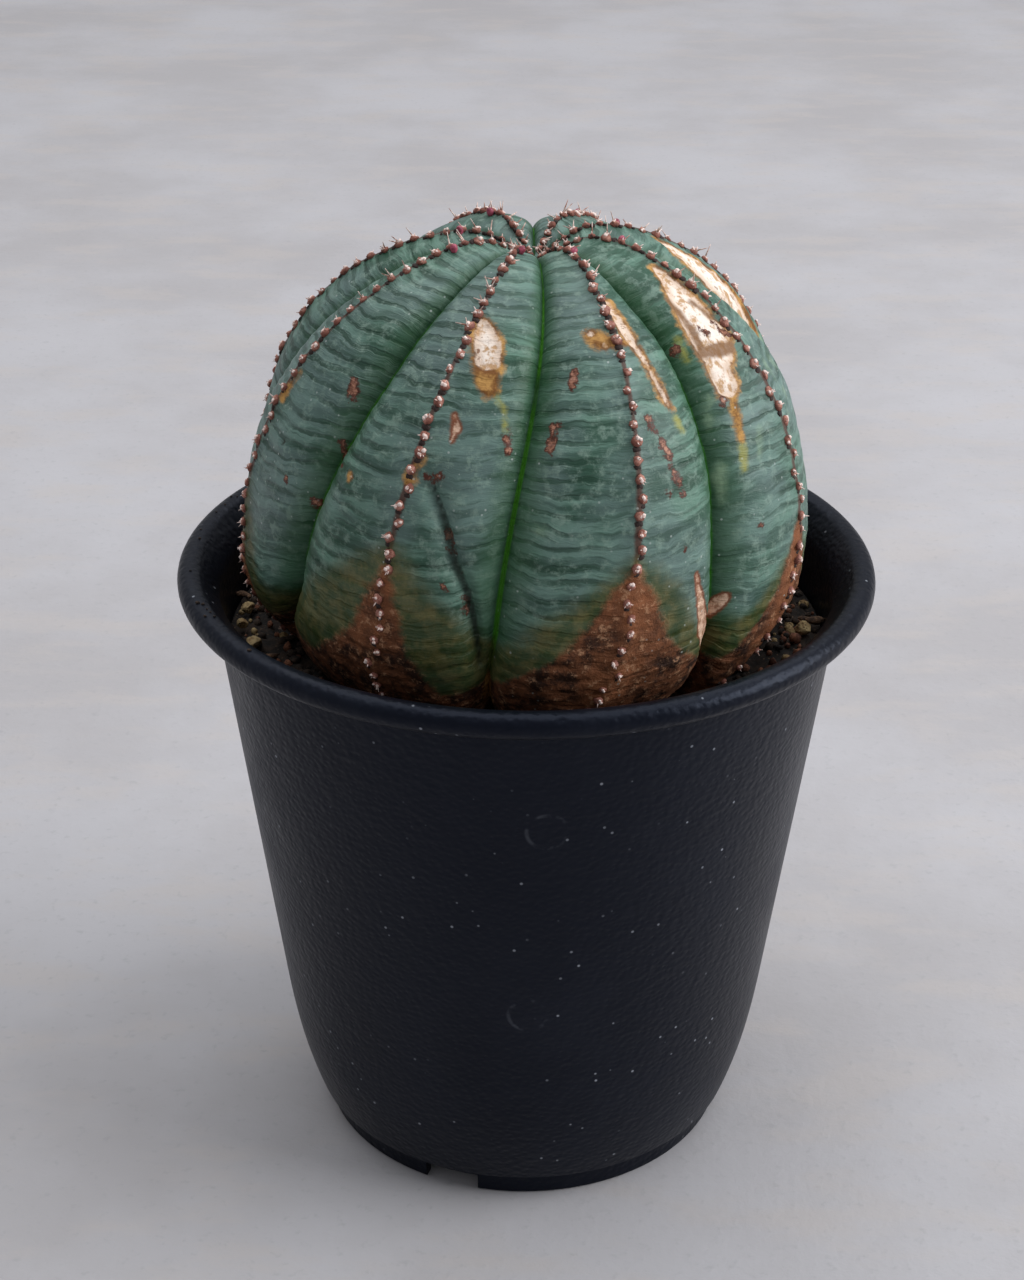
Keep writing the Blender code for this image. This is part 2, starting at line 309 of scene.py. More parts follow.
notch_knife = bmesh.new()
for degrees in NOTCHES:
    made = bmesh.ops.create_cube(notch_knife, size=1)["verts"]
    bmesh.ops.scale(notch_knife, verts=made, vec=NOTCH_SIZE)
    bmesh.ops.rotate(notch_knife, verts=made, matrix=Matrix.Rotation(math.radians(degrees), 3, "Z"))
    bmesh.ops.translate(notch_knife, verts=made, vec=towards(degrees) * FOOT_RADIUS)
for centre in [Vector((0, 0, 0))] + [towards(40 + 90 * step) * DRAIN_RING for step in range(4)]:
    made = bmesh.ops.create_cone(notch_knife, cap_ends=True, segments=32, radius1=DRAIN_RADIUS,
                                 radius2=DRAIN_RADIUS, depth=8 * MM)["verts"]
    bmesh.ops.translate(notch_knife, verts=made, vec=centre + Vector((0, 0, FLOOR_UNDER + 1 * MM)))
cut_with(pot, notch_knife)
pot.data.set_sharp_from_angle(angle=math.radians(42))
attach(pot, "root")
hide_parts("pot")

# ---------------------------------------------------------------------------------------------
# Soil. Dark gritty potting mix, packed in the pot up to a little under the rim. Its body is turned
# to fit the pot and its top is roughened; the crumbs that lie on it are made one by one.
# ---------------------------------------------------------------------------------------------

soil_low, soil_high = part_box("soil")
soil_radius = soil_high[0]
SOIL_TOP = 96 * MM


def soil_outline():
    rows = [soil_low[2] + 3 * MM + (SOIL_TOP - soil_low[2] - 3 * MM) * step / 12 for step in range(13)]
    side = [(wall_inside(height) - 0.3 * MM, height) for height in rows]
    top = [(side[-1][0] + (30 * MM - side[-1][0]) * step / 40, SOIL_TOP) for step in range(1, 41)]
    return [(0, soil_low[2]), (side[0][0] - 3 * MM, soil_low[2])] + side + top + [(0, SOIL_TOP - 4 * MM)]


def soil_bumps(x, y):
    """How far the soil stands above its level at a place."""
    place = Vector((x, y, 0))
    coarse = noise.noise(place / (7 * MM))
    fine = noise.noise(place / (1.6 * MM) + Vector((9, 4, 2)))
    lumps = 0.5 - noise.cell(place / (2.1 * MM))
    return (0.9 * coarse + 0.5 * fine + 0.45 * lumps) * MM


soil_earth, tree, shader = start_material("soil_dark_mix", 0.95)
point = object_point(tree)
lump = noise_of(tree, point, 380.0, 4.0, 0.7)
flecks = add_node(tree, "ShaderNodeTexVoronoi", {"Vector": point, "Scale": 800.0})
colour = paint(tree, (0.006, 0.004, 0.003), (0.035, 0.020, 0.012), step_up(tree, lump, 0.4, 0.7))
colour = paint(tree, colour, (0.12, 0.075, 0.045), step_up(tree, flecks.outputs["Distance"], 0.16, 0.08))
tree.links.new(colour, shader.inputs["Base Color"])
relief(tree, shader, lump, 0.8 * MM, 0.8)

earth = turned(soil_outline(), 160)
for corner in earth.verts:
    if corner.co.z > SOIL_TOP - 0.01 * MM and corner.co.xy.length < soil_radius - 1.5 * MM:
        corner.co.z += soil_bumps(corner.co.x, corner.co.y)
soil = finish_mesh("soil_packed", earth, soil_earth)
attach(soil, "root")
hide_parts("soil")

# ---------------------------------------------------------------------------------------------
# Plant. A single ribbed ball of waxy grey-green flesh. A tube is spun, then every point of it is
# put in place by how far down from the growing point and how far round from a crest it lies.
# ---------------------------------------------------------------------------------------------

CREST_RADIUS = 48.2 * MM
WIDEST_Z = 115.8 * MM
TOP_HEIGHT = 51.4 * MM
TOP_POWER = 2.3
BOTTOM_HEIGHT = 31 * MM
BOTTOM_POWER = 2.25
APEX_DIP = 4.4 * MM
APEX_SPREAD = 6.5 * MM
FURROW_DEPTH = 7 * MM
LEAN = 0.02                     # sideways for each unit up
SHARE_POWER = 1.35              # above 1 gathers the mesh's columns at the crests
HALF_RIB_WIDTH = 18.9           # millimetres from a crest to a furrow at the widest level
SOIL_DEGREES = 127              # degrees down from the top where the plant meets its soil
CORK_CLOSES = 108.5             # degrees down where the stains meet across the furrows
OLIVE_CLOSES = 95
PLANT_END = 138                 # degrees down from the top, well under the soil
# Crests and furrows by turns, as degrees round from the front, at four levels down from the top
LEVELS = (20, 50, 80, 110)
RIB_LINES = ((-150, -153, -158, -165), (-124, -128, -133, -140), (-100, -103, -108, -116),
             (-82, -88, -95, -100), (-63, -67.5, -75, -81), (-38, -43, -53, -67),
             (-18, -22, -27, -30.5), (4.5, 0, -5, -8), (27, 23, 20, 14),
             (41, 44, 43, 42.5), (72, 65.5, 66, 55), (92, 97, 98, 86), (114, 115, 112, 102),
             (136, 136, 132, 124), (157, 156, 152, 147), (182, 181, 176, 171))
HALVES = len(RIB_LINES)
line_curves = np.polyfit(LEVELS, np.array(RIB_LINES).T, 3)


def crest_profile(polar):
    """Crest radius and height at angles down from the top of the ball, in radians."""
    across, rise = np.sin(polar), np.cos(polar)
    up = np.clip(rise, 0, 1) ** (2 / TOP_POWER)
    down = np.clip(-rise, 0, 1) ** (2 / BOTTOM_POWER)
    power = np.where(rise >= 0, 2 / TOP_POWER, 2 / BOTTOM_POWER)
    radius = CREST_RADIUS * np.clip(across, 0, 1) ** power
    dip = APEX_DIP * np.exp(-(radius / APEX_SPREAD) ** 2)
    height = WIDEST_Z + np.where(rise >= 0, TOP_HEIGHT * up - dip, -BOTTOM_HEIGHT * down)
    return radius, height


polar_table = np.radians(np.linspace(0, 150, 1501))
radius_table, height_table = crest_profile(polar_table)
step_lengths = np.hypot(np.diff(radius_table), np.diff(height_table))
length_table = np.concatenate(([0], np.cumsum(step_lengths)))


def line_angles(polar):
    """Where every crest and furrow lies at these levels, with the first one again at the end."""
    level = np.clip(np.degrees(polar), 12, 118)
    angles = sum(line_curves[i][:, None] * level ** (3 - i) for i in range(4))
    return np.vstack((angles, angles[:1] + 360))


def waves(x, y, z, seed, size):
    """A smooth random swell between about -1 and 1, made of a few crossed sine waves."""
    rng = np.random.default_rng(seed)
    total = 0
    for _ in range(9):
        direction = rng.normal(size=3)
        direction /= np.linalg.norm(direction)
        pitch = math.tau / (size * rng.uniform(0.7, 1.6))
        phase = rng.uniform(0, math.tau)
        total = total + np.sin((x * direction[0] + y * direction[1] + z * direction[2]) * pitch + phase)
    return total / 4.5


def skin(around, polar):
    """Points of the bare skin. around counts half ribs; even is a crest and odd a furrow."""
    around = np.mod(around, HALVES)
    half = np.floor(around + 1e-6).astype(int) % HALVES
    part = np.clip(around - half, 0, 1)
    rising = half % 2 == 1
    share = np.where(rising, 1 - part, part)
    share = 1 - (1 - share) ** SHARE_POWER
    travelled = np.where(rising, 1 - share, share)
    angles = line_angles(polar)
    index = np.arange(len(polar))
    first, last = angles[half, index], angles[half + 1, index]
    angle = np.radians(first + (last - first) * travelled)
    radius, height = crest_profile(polar)
    radius_on, height_on = crest_profile(polar + 0.01)
    radius_off, height_off = crest_profile(np.maximum(polar - 0.01, 0))
    slope = np.hypot(radius_on - radius_off, height_on - height_off)
    out_flat, out_up = -(height_on - height_off) / slope, (radius_on - radius_off) / slope
    hollow = 1 - np.sqrt(1 - (0.998 * share) ** 4.2)
    depth = FURROW_DEPTH * np.sin(polar) ** 0.55 * (0.13 * share + 0.13 * share ** 2 + 0.74 * hollow)
    length = np.interp(polar, polar_table, length_table)
    ridge = 0.5 * MM * np.exp(-share / 0.07) * np.clip(length / (8 * MM), 0, 1)
    swell = 0.35 * MM * waves(radius * np.sin(angle), radius * np.cos(angle), height, 3, 21 * MM)
    swell += 0.10 * MM * waves(radius * np.sin(angle), radius * np.cos(angle), height, 5, 7 * MM)
    wrinkle = 0.05 * MM * np.sin(length / (3.1 * MM) * math.tau + 2 * waves(
        radius * np.sin(angle), radius * np.cos(angle), height, 8, 25 * MM) * math.pi)
    fade = np.clip(length / (10 * MM), 0, 1)
    out = ridge - depth + (swell + wrinkle * np.clip(share * 6, 0, 1)) * fade
    radius = radius + out_flat * out
    height = height + out_up * out
    place = np.stack((np.sin(angle) * radius, -np.cos(angle) * radius, height), axis=1)
    place[:, 0] += LEAN * (height - WIDEST_Z)
    return place, share, length


def around_at(degrees, polar):
    """The count of half ribs at an angle round from the front, at a level down from the top."""
    angles = line_angles(np.array([polar]))[:, 0]
    while degrees < angles[0]:
        degrees += 360
    while degrees >= angles[-1]:
        degrees -= 360
    half = int(np.searchsorted(angles, degrees, side="right")) - 1
    travelled = (degrees - angles[half]) / (angles[half + 1] - angles[half])
    share = travelled if half % 2 == 0 else 1 - travelled
    part = 1 - (1 - share) ** (1 / SHARE_POWER)
    return half + (part if half % 2 == 0 else 1 - part)


def skin_point(degrees, level):
    """One point of the skin, by degrees round from the front and degrees down from the top."""
    polar = math.radians(level)
    return skin(np.array([around_at(degrees, polar)]), np.array([polar]))[0][0]


COLUMNS = 24                    # to a half rib
ROWS = 256

tube = bmesh.new()
corners = [tube.verts.new((1, 0, -row / ROWS)) for row in range(ROWS + 1)]
edges = [tube.edges.new(pair) for pair in zip(corners, corners[1:])]
bmesh.ops.spin(tube, geom=corners + edges, cent=(0, 0, 0), axis=(0, 0, 1), angle=math.tau,
               steps=COLUMNS * HALVES, use_merge=True)
spots = np.array([corner.co for corner in tube.verts])
around = np.arctan2(spots[:, 0], -spots[:, 1]) / math.tau * HALVES
around = np.round(around * COLUMNS) / COLUMNS % HALVES
polar = np.radians(PLANT_END) * -spots[:, 2]
places, share, along = skin(around, polar)


def strip(chain):
    """Depth inside a tapering strip of the skin, in millimetres, for every point of the mesh.

    The strip runs through (degrees round, degrees down, half width in millimetres) places.
    """
    depth = np.full(len(places), -9.0)
    ends = [(skin_point(degrees, level), width) for degrees, level, width in chain]
    if len(ends) == 1:
        ends = ends * 2
    for (start, start_width), (end, end_width) in zip(ends, ends[1:]):
        run = end - start
        reach = max(run @ run, 1e-12)
        part = np.clip((places - start) @ run / reach, 0, 1)
        distance = np.linalg.norm(places - start - part[:, None] * run, axis=1) / MM
        depth = np.maximum(depth, start_width + (end_width - start_width) * part - distance)
    return depth


def strips(chains):
    return np.max([strip(chain) for chain in chains], axis=0)


# Each mark is one or more strips of (degrees round, degrees down, half width in millimetres).
# Cream is dead dry skin, gold its stained edge, tan dry cork in a crease, band a stain over cream.
CREAM = [[(-17, 31, 0.8), (-15, 33.5, 1.6), (-13.4, 36.5, 2.1), (-12.4, 39.5, 2.1)],
         [(17.6, 33.6, 0.6)], [(20.5, 37, 0.5)], [(-39, 67, 0.3)],
         [(28.6, 26.5, 0.4), (28.2, 30, 0.8), (28.8, 34, 1.0), (29.6, 37.5, 0.8), (30.4, 40, 0.5),
          (31.4, 45, 0.35), (32.6, 49, 0.6), (33.5, 51.5, 0.3)],
         [(66, 23, 0.7), (62.5, 27, 1.7), (59.5, 31.5, 2.6), (57.4, 36.5, 3.4), (56.3, 41, 3.7),
          (56, 43.5, 3.7)],
         [(60, 36, 1.5), (60.5, 42, 2.0)], [(53.6, 47, 2.3), (53.4, 51, 2.2)],
         [(109, 24, 0.8), (105.5, 28, 2.0), (103, 33, 2.6), (101.5, 38, 2.7), (100.5, 44, 2.2),
          (100, 50, 1.2)]]
GOLD = [[(-8, 104, 0.5), (-8.2, 110, 1.3), (-8.3, 118, 1.8)], [(-12.2, 41.5, 2.5), (-10.8, 45.5, 1.9)],
        [(-15.6, 40.5, 0.9)], [(-22.6, 60, 0.6), (-24.4, 65, 1.0)], [(-66.5, 54, 0.7), (-69, 60, 0.9)],
        [(17.6, 34.3, 1.5), (20, 36, 1.8), (23, 36.8, 1.3), (26.5, 37.2, 1.1)],
        [(29.5, 38, 0.9), (31, 41, 0.5)], [(53.6, 53, 0.9), (52.3, 58, 1.1), (51.5, 62, 0.7)],
        [(109, 29, 1.0), (107, 36, 1.3)], [(104.5, 41, 1.6), (104, 48, 1.8), (102.5, 54, 1.4)]]
TAN = [[(34.5, 83, 0.3), (35.5, 86, 0.7), (36.5, 89, 1.0), (38, 92.5, 1.9), (38.8, 96, 1.5),
        (40.2, 102, 1.0), (41.6, 108, 0.6)], [(45, 89.5, 0.8), (41.5, 92.5, 1.4)],
       [(-17.6, 51.5, 0.25), (-16.6, 54, 0.5), (-17, 56.5, 0.25)]]
BAND = [[(50.6, 43.2, 0.8), (55.5, 43.8, 1.2), (61, 45, 1.1)],
        [(54, 30, 0.5), (53, 38, 0.6), (51.5, 43, 0.6)], [(61.5, 33, 0.5), (62.5, 38, 0.6)]]
SCABS = [[(-49, 50, 0.9), (-48.4, 52, 1.0)], [(-52.5, 75.5, 0.9), (-50.2, 76.5, 0.9)], [(-59, 73, 0.65)],
         [(-48, 62, 0.6), (-47.4, 65, 0.5)], [(-5.4, 54, 0.6), (-5, 57, 0.6)],
         [(5.4, 52.3, 0.7), (4, 57, 0.7)], [(11, 41.6, 0.55), (10, 44.6, 0.6)],
         [(26.6, 53, 0.6), (27.4, 55.6, 0.55)], [(28.6, 58.2, 0.8), (29.6, 60.4, 0.7)],
         [(29.6, 63, 0.6), (30.6, 66, 0.7)], [(31.4, 68, 0.6)], [(28, 67.5, 0.4)], [(31, 78, 0.5)],
         [(53, 79, 0.5)], [(46, 40, 0.8)], [(55, 38.4, 0.45), (56.4, 40.4, 0.5)], [(50.6, 53.8, 0.9)],
         [(-16.2, 72.5, 0.4), (-14.8, 76, 0.6)], [(-15.6, 82, 0.6)],
         [(-12.4, 84.4, 0.5), (-11.8, 86.6, 0.5)], [(-13, 80, 0.3)],
         [(-21, 64, 0.5), (-18.4, 63, 0.5)], [(61.5, 39, 0.4), (63, 43, 0.5)],
         [(-44, 66, 0.3)], [(137, 52, 0.7), (138, 55, 0.5)], [(-121, 61, 0.8)],
         [(170, 58, 0.6), (171, 62, 0.7)]]
PITS = [[(-63, 67, 0.45)], [(-141, 47, 0.4)], [(96, 70, 0.4)]]
YELLOW = [[(-9, 46.5, 0.6), (-6.6, 49, 0.4), (-6, 53, 0.2)], [(34, 54, 0.5), (35, 57, 0.4)],
          [(51, 64, 0.9), (50.2, 68, 0.7)], [(47.5, 38, 0.5), (47, 43, 0.7)]]
PALE = [[(83, 41, 0.8), (85, 46, 1.3)], [(80, 54, 1.2), (82, 59, 0.7)], [(87, 64, 1.1), (84, 70, 0.6)],
        [(79, 76, 0.8)], [(90, 52, 0.7)], [(48, 52, 0.5), (46, 57, 0.9)], [(45, 68, 0.8)],
        [(73, 53, 0.9), (74, 56, 0.8)], [(76, 60, 1.1)], [(72, 64, 0.8)], [(57, 62, 0.8), (55, 67, 0.6)],
        [(46, 66, 1.0), (45, 73, 0.7)], [(103, 56, 1.2), (101, 64, 0.8)], [(2, 72, 0.8)]]
CREASES = [[(-20, 65, 0.1), (-18, 68.5, 0.4), (-16.4, 72, 0.5), (-14, 79, 0.5), (-12, 83, 0.5),
            (-10.8, 87.5, 0.5), (-10, 93, 0.4), (-9.6, 100, 0.1)]]
# For the crests in turn: where brown cork and the olive tint above it start, in degrees down,
# and how many millimetres each spreads to a side with every degree further down
CORK = ((88, 0.4), (86, 0.35), (90, 0.3), (80, 0.36), (79, 0.60), (81, 0.46), (85, 0.5), (88, 0.4))
OLIVE = ((82, 0.9), (80, 0.8), (77, 0.5), (76, 1.15), (77, 1.05), (84, 1.3), (80, 1.0), (83, 0.9))

cream = strips(CREAM)
gold = strips(GOLD)
tan = strips(TAN)
band = strips(BAND)
scab = strips(SCABS)
pit = strips(PITS)
yellow = strips(YELLOW)
pale = strips(PALE)
crease = strips(CREASES)
level = np.degrees(polar)
from_crest = HALF_RIB_WIDTH * np.sin(polar) ** 0.87 * share
nearest_crest = (np.floor(around / 2 + 0.5).astype(int)) % (HALVES // 2)


def low_zone(spread, closing_level):
    """Depth inside a stain that widens down a crest, in millimetres, and closes round the base."""
    start = np.array([pair[0] for pair in spread])[nearest_crest]
    growth = np.array([pair[1] for pair in spread])[nearest_crest]
    below = level - start
    inside = np.where(below > 0, growth * below - from_crest + 0.6, below * 0.8 - from_crest)
    return np.clip(np.maximum(inside, (level - closing_level) * 0.7), -9, 9)


cork = low_zone(CORK, CORK_CLOSES)
olive = low_zone(OLIVE, OLIVE_CLOSES)

out = places - np.array((0, 0, WIDEST_Z))
out /= np.linalg.norm(out, axis=1)[:, None]
sunk = 0.25 * np.clip((cream + 0.3) / 0.6, 0, 1) + 0.3 * np.clip((tan + 0.3) / 0.6, 0, 1)
sunk -= 0.22 * np.clip((scab + 0.3) / 0.5, 0, 1) - 0.3 * np.clip((scab - 0.25) / 0.4, 0, 1)
sunk += 1.9 * np.exp(-np.clip(-crease, 0, None) / 0.7) * (crease > -6)
sunk += 0.5 * np.clip((pit + 0.3) / 0.6, 0, 1)
sunk -= 0.16 * np.clip(cork, 0, 1) * waves(*places.T, 21, 2.0 * MM)
places = places - out * sunk[:, None] * MM

for corner, place in zip(tube.verts, places):
    corner.co = place
fields = {"share": share, "along": along / MM, "cream": cream, "gold": gold, "scab": scab, "pit": pit,
          "tan": tan, "band": band, "yellow": yellow, "pale": pale, "crease": crease, "cork": cork,
          "olive": olive}
for name, values in fields.items():
    layer = tube.verts.layers.float.new(name)
    for corner, value in zip(tube.verts, values):
        corner[layer] = value
bmesh.ops.remove_doubles(tube, verts=tube.verts, dist=0.002 * MM)
open_edges = [edge for edge in tube.edges if edge.is_boundary]
bmesh.ops.holes_fill(tube, edges=open_edges)
bmesh.ops.recalc_face_normals(tube, faces=tube.faces)


def attribute(tree, name):
    return add_node(tree, "ShaderNodeAttribute", attribute_name=name).outputs["Fac"]


def zone(tree, name, ragged, low, high):
    """How far a place is inside a mark of that name, 0 to 1, with an edge made ragged by noise."""
    return step_up(tree, sums(tree, "ADD", attribute(tree, name), ragged), low, high)


def times(tree, first, second):
    return sums(tree, "MULTIPLY", first, second)


skin_wax, tree, shader = start_material("plant_skin_waxy", 0.5)
point = object_point(tree)
share_at = attribute(tree, "share")
along_at = attribute(tree, "along")
flat = add_node(tree, "ShaderNodeSeparateXYZ", {"Vector": object_point(tree, (28, 28, 28))})
sag = sums(tree, "MULTIPLY_ADD", sums(tree, "POWER", share_at, 2.0), 1.6, along_at)
sag = sums(tree, "MULTIPLY_ADD", noise_of(tree, point, 130.0, 3.0, 0.6), 3.4, sag)


def band_noise(pitch, detail, rough, spread=1.0):
    """Noise drawn out across the ribs, which changes quickly down them."""
    place = add_node(tree, "ShaderNodeCombineXYZ", {
        "X": times(tree, flat.outputs["X"], spread), "Y": times(tree, flat.outputs["Y"], spread),
        "Z": times(tree, sag, pitch)})
    return noise_of(tree, place.outputs["Vector"], 1.0, detail, rough, 0.2)


wide_band = band_noise(0.30, 4.0, 0.66, 1.3)
thin_band = band_noise(0.85, 3.0, 0.72, 4.0)
bloom = noise_of(tree, point, 42.0, 3.0, 0.55)
mottle = noise_of(tree, point, 480.0, 4.0, 0.72)
ragged = noise_of(tree, point, 330.0, 4.0, 0.7)
flakes = noise_of(tree, point, 640.0, 4.0, 0.75)
fray = sums(tree, "MULTIPLY_ADD", ragged, 3.2, -1.6)
soft_fray = times(tree, fray, 0.5)
drift = sums(tree, "MULTIPLY_ADD", noise_of(tree, point, 75.0, 4.0, 0.6), 8.0, -4.0)

colour = paint(tree, (0.026, 0.078, 0.048), (0.118, 0.225, 0.170), step_up(tree, wide_band, 0.42, 0.58))
colour = paint(tree, colour, (0.145, 0.205, 0.200), times(tree, step_up(tree, bloom, 0.40, 0.62), 0.62))
colour = paint(tree, colour, (0.018, 0.052, 0.030), times(tree, step_up(tree, thin_band, 0.50, 0.64), 0.5))
ripple = sums(tree, "SINE", sums(tree, "MULTIPLY_ADD", wide_band, 7.0, times(tree, sag, 2.3)))
ripple_here = step_up(tree, noise_of(tree, point, 58.0, 3.0, 0.6), 0.36, 0.58)
ripple_line = times(tree, step_up(tree, ripple, 0.25, 0.95), ripple_here)
colour = paint(tree, colour, (0.014, 0.046, 0.027), times(tree, ripple_line, 0.72))
colour = paint(tree, colour, (0.24, 0.34, 0.28), times(tree, step_up(tree, mottle, 0.48, 0.68), 0.5))
# Painted shade: the flanks are painted darker green as they turn down into each furrow.
furrow_shade = step_up(tree, share_at, 0.66, 0.96)
colour = paint(tree, colour, (0.026, 0.092, 0.030), times(tree, furrow_shade, 0.62))
pale_green = zone(tree, "pale", sums(tree, "MULTIPLY_ADD", drift, 0.5, fray), -0.7, 1.8)
colour = paint(tree, colour, (0.33, 0.46, 0.29), times(tree, pale_green, 0.55))
green_line = times(tree, step_up(tree, share_at, 0.968, 0.988), step_up(tree, bloom, 0.36, 0.52))
colour = paint(tree, colour, (0.075, 0.30, 0.014), times(tree, green_line, 0.9))
near_crest = step_up(tree, sums(tree, "MULTIPLY_ADD", ragged, 0.05, share_at), 0.066, 0.034)
colour = paint(tree, colour, (0.085, 0.030, 0.020), times(tree, near_crest, 0.85))

olive_tint = paint(tree, (0.034, 0.052, 0.010), (0.130, 0.112, 0.034), step_up(tree, ragged, 0.36, 0.66))
olive_at = zone(tree, "olive", drift, -2.5, 3.5)
colour = paint(tree, colour, olive_tint, times(tree, olive_at, 0.85))
cork_at = zone(tree, "cork", sums(tree, "MULTIPLY_ADD", drift, 0.45, fray), -0.9, 1.0)
cork_tint = paint(tree, (0.028, 0.011, 0.006), (0.17, 0.062, 0.026), step_up(tree, ragged, 0.38, 0.60))
by_stubs = times(tree, step_up(tree, share_at, 0.42, 0.08), step_up(tree, bloom, 0.38, 0.55))
cork_tint = paint(tree, cork_tint, (0.30, 0.108, 0.043), times(tree, by_stubs, 0.6))
cork_flecks = step_up(tree, flakes, 0.54, 0.66)
cork_tint = paint(tree, cork_tint, (0.50, 0.27, 0.15), times(tree, cork_flecks, 0.65))
colour = paint(tree, colour, cork_tint, cork_at)

yellow_at = zone(tree, "yellow", fray, -0.6, 0.8)
colour = paint(tree, colour, (0.33, 0.31, 0.06), times(tree, yellow_at, 0.75))
gold_at = zone(tree, "gold", fray, -0.5, 0.8)
gold_rim = zone(tree, "cream", fray, -1.1, -0.1)
gold_all = sums(tree, "MAXIMUM", gold_at, gold_rim)
gold_tint = paint(tree, (0.17, 0.065, 0.014), (0.50, 0.27, 0.08), step_up(tree, ragged, 0.40, 0.66))
colour = paint(tree, colour, gold_tint, gold_all)
streak_place = add_node(tree, "ShaderNodeCombineXYZ", {
    "X": times(tree, flat.outputs["X"], 26.0), "Y": times(tree, flat.outputs["Y"], 26.0),
    "Z": times(tree, along_at, 0.14)})
streak = noise_of(tree, streak_place.outputs["Vector"], 1.0, 4.0, 0.62)
cream_tint = paint(tree, (0.50, 0.31, 0.17), (0.86, 0.75, 0.66), step_up(tree, streak, 0.38, 0.52))
cream_deep = zone(tree, "cream", soft_fray, 0.4, 1.8)
cream_tint = paint(tree, (0.52, 0.30, 0.15), cream_tint,
                   sums(tree, "MULTIPLY_ADD", cream_deep, 0.45, 0.55))
cracks = times(tree, step_up(tree, streak, 0.62, 0.66), step_up(tree, bloom, 0.46, 0.56))
cream_tint = paint(tree, cream_tint, (0.20, 0.085, 0.035), times(tree, cracks, 0.9))
cream_at = zone(tree, "cream", soft_fray, -0.15, 0.35)
colour = paint(tree, colour, cream_tint, cream_at)
band_at = zone(tree, "band", soft_fray, -0.5, 0.4)
colour = paint(tree, colour, (0.21, 0.105, 0.045), times(tree, band_at, 0.9))
tan_rim = zone(tree, "tan", soft_fray, -0.6, 0.0)
colour = paint(tree, colour, (0.20, 0.065, 0.03), tan_rim)
tan_tint = paint(tree, (0.34, 0.17, 0.10), (0.74, 0.50, 0.36), step_up(tree, flakes, 0.38, 0.60))
colour = paint(tree, colour, tan_tint, zone(tree, "tan", soft_fray, -0.1, 0.3))
scab_fray = sums(tree, "MULTIPLY_ADD", flakes, 3.4, -1.7)
scab_at = zone(tree, "scab", scab_fray, -0.3, 0.15)
scab_heart = zone(tree, "scab", scab_fray, 0.1, 0.6)
scab_pale = times(tree, scab_heart, step_up(tree, ragged, 0.35, 0.6))
scab_tint = paint(tree, (0.075, 0.020, 0.011), (0.47, 0.22, 0.14), scab_pale)
colour = paint(tree, colour, scab_tint, scab_at)
colour = paint(tree, colour, (0.02, 0.02, 0.012), zone(tree, "pit", soft_fray, -0.4, 0.3))
# Painted shade: the crease is painted near black, on top of being sunk into the skin.
crease_shade = zone(tree, "crease", times(tree, fray, 0.2), -0.45, 0.35)
colour = paint(tree, colour, (0.008, 0.018, 0.010), times(tree, crease_shade, 0.85))
specks = add_node(tree, "ShaderNodeTexVoronoi", {"Vector": point, "Scale": 520.0}).outputs["Distance"]
speck_at = times(tree, step_up(tree, specks, 0.13, 0.06), step_up(tree, bloom, 0.48, 0.60))
colour = paint(tree, colour, (0.50, 0.55, 0.52), times(tree, speck_at, 0.6))
tree.links.new(colour, shader.inputs["Base Color"])
dry = sums(tree, "MAXIMUM", cork_at, sums(tree, "MAXIMUM", cream_at, gold_at))
tree.links.new(sums(tree, "MULTIPLY_ADD", dry, 0.32, 0.45), shader.inputs["Roughness"])
shader.inputs["Specular IOR Level"].default_value = 0.26
height = sums(tree, "MULTIPLY_ADD", thin_band, 0.9, times(tree, mottle, 0.35))
height = sums(tree, "MULTIPLY_ADD", ripple_line, -0.5, height)
height = sums(tree, "MULTIPLY_ADD", times(tree, flakes, cork_at), 1.6, height)
height = sums(tree, "MULTIPLY_ADD", times(tree, streak, cream_at), 0.8, height)
relief(tree, shader, height, 0.32 * MM, 0.75)

plant = finish_mesh("euphorbia_skin", tube, skin_wax)
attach(plant, "root")
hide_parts("euphorbia")

# ---------------------------------------------------------------------------------------------
# Stubs. Each crest carries a row of small woody knobs, left where old flower stalks dried off,
# with a pale broken tip and a few splinters on each. Just downhill of each knob lies a flat dark
# knob that is painted shade, and each knob is painted darker towards its foot, also as shade. The
# knobs are small balls knocked out of round.
# ---------------------------------------------------------------------------------------------

stub_wood, tree, shader = start_material("stub_wood", 0.75)
point = object_point(tree)
tip = attribute(tree, "tip")
rough_wood = noise_of(tree, point, 900.0, 3.0, 0.7)
# Part real colour, part painted shade: the pale broken tip and splinters are the wood's own colour, while
# the darker foot of each knob and the near-black knob under it are painted shade.
tip_and_shade = sums(tree, "ADD", tip, sums(tree, "MULTIPLY_ADD", rough_wood, 0.9, -0.45))
colour = paint(tree, (0.022, 0.009, 0.006), (0.20, 0.066, 0.044), step_up(tree, tip_and_shade, -0.2, 0.15))
colour = paint(tree, colour, (0.47, 0.22, 0.165), step_up(tree, tip_and_shade, 0.22, 0.55))
colour = paint(tree, colour, (0.82, 0.66, 0.60), step_up(tree, tip_and_shade, 0.62, 0.88))
tree.links.new(colour, shader.inputs["Base Color"])
relief(tree, shader, rough_wood, 0.3 * MM, 0.7)


def skin_frame(around_count, polar_angle):
    """A point of the skin with its sideways, downhill and outward directions, as a matrix."""
    near = np.array([around_count] * 2 + [around_count - 0.02, around_count + 0.02])
    levels = np.array([polar_angle - 0.004, polar_angle + 0.004, polar_angle, polar_angle])
    spots = [Vector(spot) for spot in skin(near, levels)[0]]
    downhill = (spots[1] - spots[0]).normalized()
    outward = (spots[3] - spots[2]).cross(downhill).normalized()
    if outward.dot(spots[0] - Vector((0, 0, WIDEST_Z - 20 * MM))) < 0:
        outward = -outward
    made = Matrix((downhill.cross(outward), downhill, outward)).transposed().to_4x4()
    return Matrix.Translation((spots[0] + spots[1]) / 2) @ made


